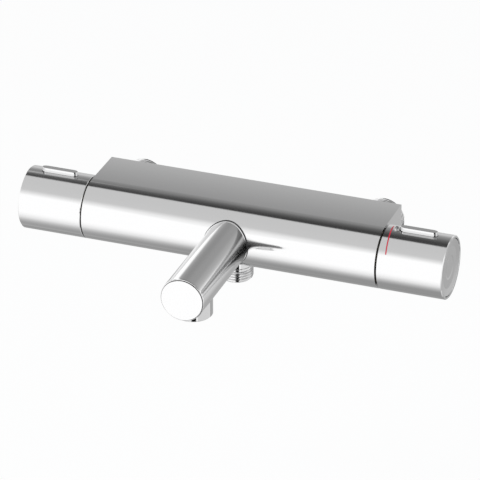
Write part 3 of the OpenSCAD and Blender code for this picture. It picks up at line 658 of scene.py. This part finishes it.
def inlet(label):
    """Wall inlet: a smooth root, then the thread round a stepped mouth that holds the strainer."""
    node = "inlet_nipple_" + label
    low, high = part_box(node)
    radius = (high.x - low.x) / 2 / MM
    length = (high.y - low.y) / MM
    root_r, root_len, thread_len = 11, 10, 13
    neck_r, neck_end = radius - PIPE_DEPTH, length - thread_len
    bore_r, seat_r, mouth_r = 8.6, 9.3, 10
    mouth_depth, seat_depth = 6, 7.5
    mouth, seat = length - mouth_depth, length - seat_depth
    edge = 0.3
    threaded_nipple(
        "inlet_" + label, node, turned_to("X", -90, ((low.x + high.x) / 2, low.y, (low.z + high.z) / 2)),
        looks["chrome"],
        outer=[(bore_r, 0), (root_r - edge, 0), (root_r, edge), (root_r, root_len), (neck_r, root_len),
               (neck_r, neck_end)],
        bore=[(mouth_r + edge, length), (mouth_r, length - edge), (mouth_r, mouth), (seat_r, mouth),
              (seat_r, seat), (bore_r, seat)],
        thread=dict(major=radius, root=neck_r, start=neck_end, end=length, pitch=PIPE_PITCH, lead_in=1.2))


def shower_outlet():
    """Threaded outlet under the body: a spigot, a collar and the thread below it."""
    node = "shower_nipple"
    low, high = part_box(node)
    radius = (high.x - low.x) / 2 / MM
    length = (high.z - low.z) / MM
    bore_r, spigot_r = 7.5, 8.9
    thread_len, collar_w, collar_inset = 7.6, 1.6, 0.58
    collar_edge, mouth_edge = 0.15, 0.3
    thread_start, thread_root = length - thread_len, radius - PIPE_DEPTH
    collar_start, collar_r = thread_start - collar_w, radius - collar_inset
    threaded_nipple(
        "shower_outlet", node, turned_to("X", 180, ((low.x + high.x) / 2, (low.y + high.y) / 2, high.z)),
        outlet_pipe_look,
        outer=[(bore_r, 0), (spigot_r, 0), (spigot_r, collar_start), (collar_r - collar_edge, collar_start),
               (collar_r, collar_start + collar_edge), (collar_r, thread_start - collar_edge),
               (collar_r - collar_edge, thread_start), (thread_root, thread_start)],
        bore=[(bore_r + mouth_edge, length), (bore_r, length - mouth_edge), (bore_r, length / 2)],
        thread=dict(major=radius, root=thread_root, start=thread_start, end=length, pitch=PIPE_PITCH,
                    lead_in=2.5))


def spout_tip():
    """The disc that closes the spout. It stands a little proud of a rounded rim, with a dark rubber ring
    between
    them: painted shade, a black ring that stands in for the shadow in the seam."""
    low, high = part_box("spout_end_cap")
    r = (high.x - low.x) / 2 / MM
    length = (high.y - low.y) / MM
    flange, plug_inset, bore_inset = 2.5, 1.6, 3.5
    disc_inset, disc_edge = 0.75, 0.1
    round_r, rim_drop = 0.45, 0.6
    groove_depth, shade_seal_depth, shade_seal_sunk = 1.3, 0.9, 0.05
    plug_r, bore_r, seat = r - plug_inset, r - bore_inset, length - flange
    disc_r, groove, shade_seal_top = r - disc_inset, length - groove_depth, length - shade_seal_depth
    rim_r, rim = r - round_r, length - rim_drop
    place = turned_to("X", 90, ((low.x + high.x) / 2, high.y, (low.z + high.z) / 2))
    rounded = [(rim_r + round_r * math.sin(a), rim - round_r * (1 - math.cos(a)))
               for a in (math.radians(d) for d in range(90, -1, -18))]
    plug = [(0, seat), (bore_r, seat), (bore_r, 0), (plug_r, 0), (plug_r, seat), (r, seat)]
    face = [(rim_r, groove), (disc_r, groove), (disc_r, length - disc_edge), (disc_r - disc_edge, length),
            (0, length)]
    disc = revolved(plug + rounded + face)
    add_piece("spout_tip", disc, place, looks["chrome"], "mixer", "spout_end_cap")
    inner, outer = disc_r - shade_seal_sunk, rim_r + shade_seal_sunk
    # painted shade: a black rubber ring fills the seam round the disc in place of the shadow in it
    shade_seal = revolved([(inner, groove - shade_seal_sunk), (outer, groove - shade_seal_sunk), (outer, shade_seal_top),
                     (inner, shade_seal_top)])
    add_piece("spout_tip_shade_seal", shade_seal, place, looks["rubber"], "mixer")


def root_shade_bead(steps=96, sides=10):
    """Black rubber bead that stands out a little between the bar and the ring at the spout's root: painted
    shade, in place of the shadow in the gap there.
    """
    low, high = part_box("spout_gasket")
    centre_x, centre_z = (low.x + high.x) / 2, (low.z + high.z) / 2
    bead = 0.35 * MM
    lift = 0.25 * MM
    path_r = (high.x - low.x) / 2 + bead
    forward = Vector((0, -1, 0))
    bm = bmesh.new()
    rings = []
    for a in circle(steps):
        out = Vector((math.sin(a), 0, math.cos(a)))
        z = path_r * math.cos(a)
        y = BAR_AXIS_Y - math.sqrt((BAR_R + lift) ** 2 - z * z)
        middle = Vector((centre_x, y, centre_z)) + out * path_r
        rings.append([bm.verts.new(middle + bead * (math.cos(b) * out + math.sin(b) * forward))
                      for b in circle(sides)])
    for ring, following in zip(rings, rings[1:] + rings[:1]):
        skin(bm, ring, following)
    # painted shade: the black bead stands where the joint's shadow is
    add_piece("spout_root_shade_bead", bm, Matrix.Identity(4), looks["rubber"], "mixer",
              "spout_gasket", TUBE_CREASE)


def handle_cap(node, body, side):
    """End cap of a handle: a rim that slopes gently in to a flat middle with one fine step."""
    low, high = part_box(node)
    r = (high.z - low.z) / 2 / MM
    length = (high.x - low.x) / MM
    back, edge = 1.4, 0.3
    plug_r, bore_r = 11.9, 10.5
    dish_r, dish_depth = 13.4, 0.55
    step_r, step_w, step_depth = 6.6, 1.2, 0.7
    dish, step = length - dish_depth, length - step_depth
    inner_x = low.x if side > 0 else high.x
    place = turned_to("Y", 90 * side, (inner_x, (low.y + high.y) / 2, (low.z + high.z) / 2))
    plug = [(0, back), (bore_r, back), (bore_r, 0), (plug_r, 0), (plug_r, back)]
    face = [(r, back), (r, length - edge), (r - edge, length), (dish_r, dish), (step_r + step_w, dish),
            (step_r, step), (0, step)]
    bm = revolved(plug + face)
    add_piece("cap_" + body, bm, place, looks["chrome_satin"], body, node, FINE_CREASE)


def push_bar(node, body, steps=24):
    """Raised push bar: its ends are half an ellipse, and its foot and two guide posts are in the handle."""
    low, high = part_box(node)
    centre = (low + high) / 2
    half_len, half_w, end = 12 * MM, 1.95 * MM, 3.4 * MM
    edge = 0.2 * MM
    worn_share = 0.3
    foot_depth, foot_t = 7.3 * MM, 1.5 * MM
    foot_low = high.z - foot_depth
    foot_high = foot_low + foot_t
    post_r, post_share, post_sides = 1.5 * MM, 0.75, 24
    bm = bmesh.new()

    def loop(inset, z):
        out = []
        for s in (1, -1):
            for i in range(steps + 1):
                a = math.pi * i / steps - math.pi / 2
                x = s * (half_len - end + (end - inset) * math.cos(a))
                y = s * (half_w - inset) * math.sin(a)
                out.append(bm.verts.new((centre.x + x, centre.y + y, z)))
        return out

    loops = [loop(0, foot_low), loop(0, high.z - edge), loop(edge * worn_share, high.z - edge * worn_share),
             loop(edge, high.z)]
    for lower, upper in zip(loops, loops[1:]):
        skin(bm, lower, upper)
    bm.faces.new(loops[-1])
    bm.faces.new(loops[0][::-1])
    foot = Matrix.Translation((centre.x, centre.y, (foot_low + foot_high) / 2)) @ Matrix.Diagonal(
        (high.x - low.x, high.y - low.y, foot_high - foot_low, 1))
    bmesh.ops.create_cube(bm, size=1, matrix=foot)
    for s in (-1, 1):
        post = Matrix.Translation((centre.x + s * post_share * half_len, centre.y, (low.z + foot_low) / 2))
        bmesh.ops.create_cone(bm, cap_ends=True, segments=post_sides, radius1=post_r, radius2=post_r,
                              depth=foot_low - low.z, matrix=post)
    add_piece("push_bar_" + body, bm, Matrix.Identity(4), push_bar_look, body, node,
              BEVEL_CREASE)


def index_stud():
    """Small domed stud on the temperature handle, at the inner end of its push bar."""
    low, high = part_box("safety_button")
    stud_r = 2.15
    below_bar = 0.7
    overlap = 0.7
    foot = -1.0
    top = (high.z - BAR_R) / MM - below_bar
    place = Matrix.Translation((low.x - (stud_r - overlap) * MM, (low.y + high.y) / 2, BAR_R))
    dome = [(stud_r * math.cos(a), top - stud_r * (1 - math.sin(a)))
            for a in (math.radians(d) for d in range(0, 90, 9))]
    stud = revolved([(0, foot), (stud_r, foot)] + dome + [(0, top)], steps=48)
    add_piece("index_stud", stud, place, stud_look, "temperature_handle")


def spring(node, body, axis, wire_r, turns, steps=24, sides=10):
    """Coil spring with closed end turns, in place of a node. It stands on its low end along axis."""
    low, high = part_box(node)
    centre = (low + high) / 2
    along = "XYZ".index(axis)
    across = [i for i in range(3) if i != along]
    wire = wire_r * MM
    length = high[along] - low[along]
    coil_r = (high[across[0]] - low[across[0]]) / 2 - wire
    closed_turns, closed_pitch = 0.75, 2.05 * wire
    closed = closed_turns * closed_pitch
    rise = length - 2 * wire - 2 * closed

    def height(turn):
        if turn < closed_turns:
            return turn * closed_pitch
        if turn > turns - closed_turns:
            return length - 2 * wire - (turns - turn) * closed_pitch
        return closed + rise * (turn - closed_turns) / (turns - 2 * closed_turns)

    bm = bmesh.new()
    rings = []
    for k in range(turns * steps + 1):
        a = 2 * math.pi * k / steps
        ring = []
        for b in circle(sides):
            r = coil_r + wire * math.cos(b)
            point = centre.copy()
            point[along] = low[along] + wire + height(k / steps) + wire * math.sin(b)
            point[across[0]] += r * math.cos(a)
            point[across[1]] += r * math.sin(a)
            ring.append(bm.verts.new(point))
        rings.append(ring)
    for ring, following in zip(rings, rings[1:]):
        skin(bm, ring, following)
    bm.faces.new(rings[0])
    bm.faces.new(rings[-1])
    ob = add_piece("coil_" + node, bm, Matrix.Identity(4), looks["steel"], body, node,
                   TUBE_CREASE)
    direction = Vector()
    direction[along] = 1
    anchor = centre.copy()
    anchor[along] = low[along]
    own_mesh(ob)


inlet("hot")
inlet("cold")
shower_outlet()
spout_tip()
root_shade_bead()
handle_cap("temperature_knob_cap", "temperature_handle", side=1)
handle_cap("flow_knob_cap", "flow_handle", side=-1)
push_bar("safety_button", "safety_stop")
push_bar("eco_button", "eco_stop")
index_stud()

for stop, handle in (("safety", "temperature_handle"), ("eco", "flow_handle")):
    spring(stop + "_spring", handle, "Z", wire_r=0.35, turns=5)
spring("return_spring", "mixer", "X", wire_r=0.5, turns=6)
for way, axis in (("hot", "Y"), ("cold", "Y"), ("shower", "Z")):
    spring("poppet_spring_" + way, "mixer", axis, wire_r=0.3, turns=4)
